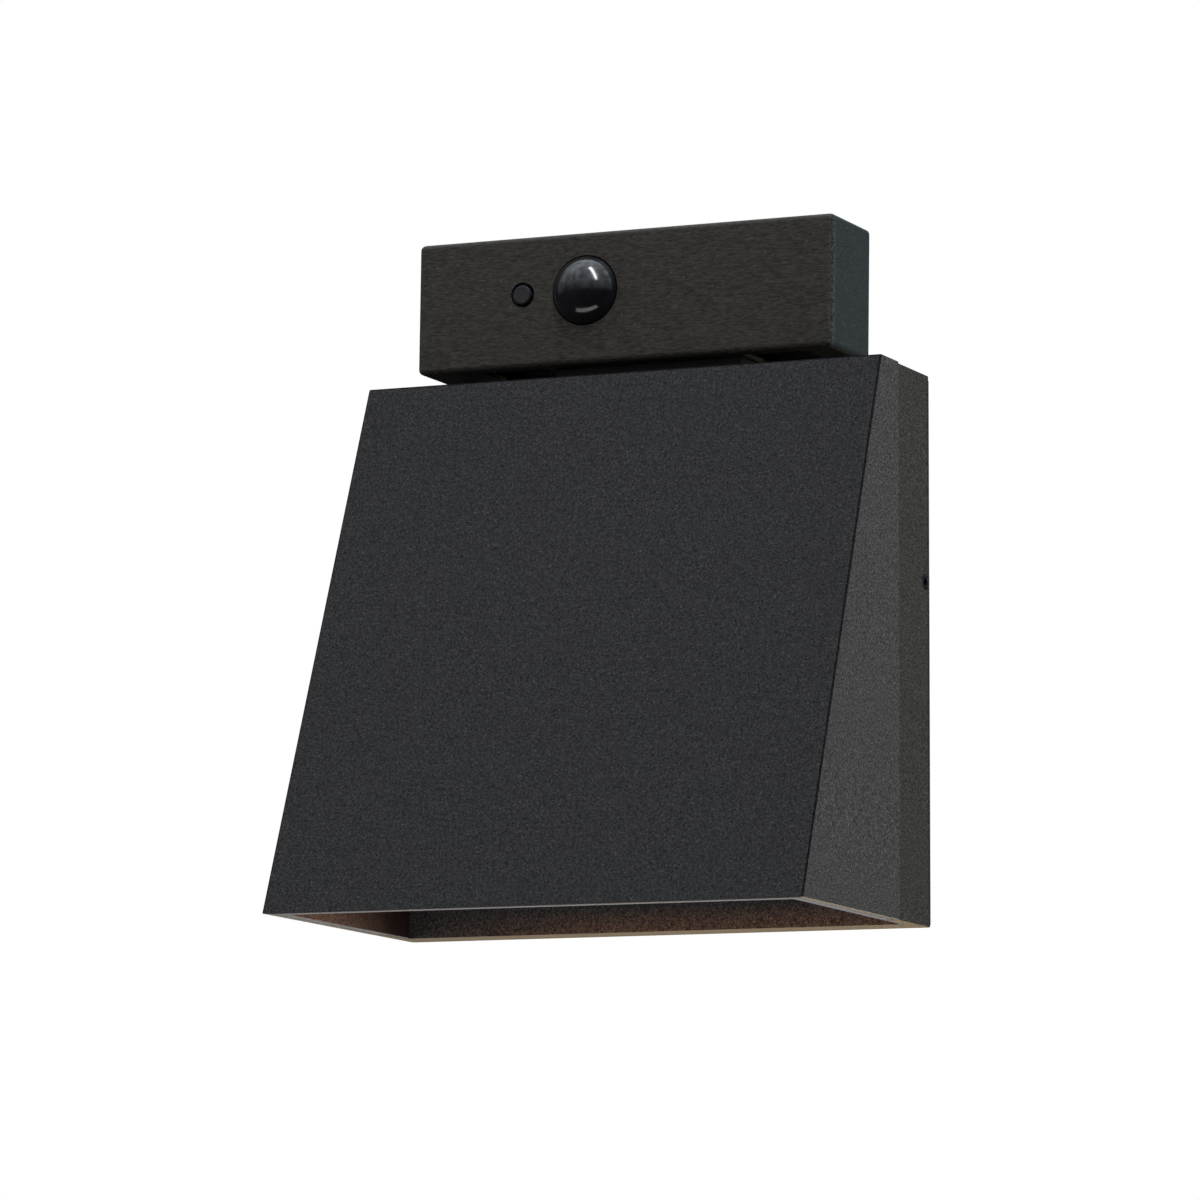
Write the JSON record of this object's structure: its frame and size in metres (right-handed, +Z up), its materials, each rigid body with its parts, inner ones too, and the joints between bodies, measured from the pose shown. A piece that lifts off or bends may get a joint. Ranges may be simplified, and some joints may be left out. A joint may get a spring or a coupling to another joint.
{
  "type": "outdoor wall light",
  "caption": "Outdoor wall light: a wedge-shaped shade that opens downwards, with a motion sensor box and its push button above it on one wall plate.",
  "frame": {"origin": "centre of the cable entry, in the plane of the wall", "axes": "+Y into the wall, +Z up, +X to the right of someone who faces the wall"},
  "size_m": [0.2, 0.1145, 0.2457],
  "materials": {
    "bare_aluminium": "mill finish",
    "black_rubber": "moulded rubber, matt",
    "board_green": "green solder mask",
    "board_white": "white solder mask",
    "box_paint": "satin paint over a fine horizontal grain",
    "brass": "turned brass",
    "button_plastic": "moulded, finely eroded",
    "capacitor_sleeve": "shrink sleeve",
    "case_plastic": "moulded, matt",
    "cover_paint": "fine sand-texture powder coat, matt",
    "dark_screws": "blackened steel",
    "detector_can": "nickel-plated can",
    "diffuser_opal": "frosted polycarbonate",
    "driver_plastic": "moulded case",
    "foam_rubber": "closed-cell foam, matt black",
    "frame_plastic": "moulded, matt",
    "galvanised_steel": "zinc-plated sheet steel, dull",
    "housing_paint": "fine sand-texture powder coat, matt",
    "lead_sleeve": "silicone-sleeved lead",
    "lens_black": "polished, infrared-clear black",
    "light_source": "phosphor-filled package",
    "liner_paint": "fine sand-texture powder coat, matt",
    "neck_plastic": "moulded, matt",
    "relay_plastic": "moulded relay case",
    "silicone": "cast silicone",
    "terminal_plastic": "moulded polyamide",
    "zinc_screws": "bright zinc-plated steel"
  },
  "bodies": {
    "fixture": {"wall_plate": "galvanised_steel", "wall_gasket": "foam_rubber", "cable_grommet": "black_rubber", "earth_screw": "brass", "terminal_block": "terminal_plastic", "terminal_screws": "zinc_screws", "rear_housing": "housing_paint", "side_screws": "dark_screws", "front_cover": "cover_paint", "cover_screws": "zinc_screws", "shade_liner": "liner_paint", "liner_screws": "dark_screws", "led_carrier": "bare_aluminium", "carrier_screws": "zinc_screws", "led_driver": "driver_plastic", "driver_screws": "zinc_screws", "driver_leads": "lead_sleeve", "led_board": "board_white", "led_chips": "light_source", "diffuser_seal": "silicone", "diffuser": "diffuser_opal", "diffuser_frame": "frame_plastic", "frame_screws": "dark_screws", "neck_duct": "neck_plastic", "sensor_lead": "lead_sleeve", "sensor_cover": "box_paint", "sensor_cover_screws": "dark_screws", "sensor_case": "case_plastic", "sensor_case_back": "case_plastic", "case_screws": "zinc_screws", "case_fixing_screws": "zinc_screws", "pir_lens": "lens_black", "lens_seal": "foam_rubber", "lens_retainer": "case_plastic", "sensor_board": "board_green", "board_screws": "zinc_screws", "pir_detector": "detector_can", "sensor_relay": "relay_plastic", "supply_capacitor": "capacitor_sleeve", "mode_switch": "case_plastic"},
    "button": {"mode_button": "button_plastic", "switch_plunger": "case_plastic"}
  },
  "joints": [
    {"name": "button_press", "type": "slide", "parent": "fixture", "child": "button", "axis": [0, 1, 0], "range_m": [0, 0.001], "stiffness_N_per_m": 700, "springref_m": -0.001}
  ]
}
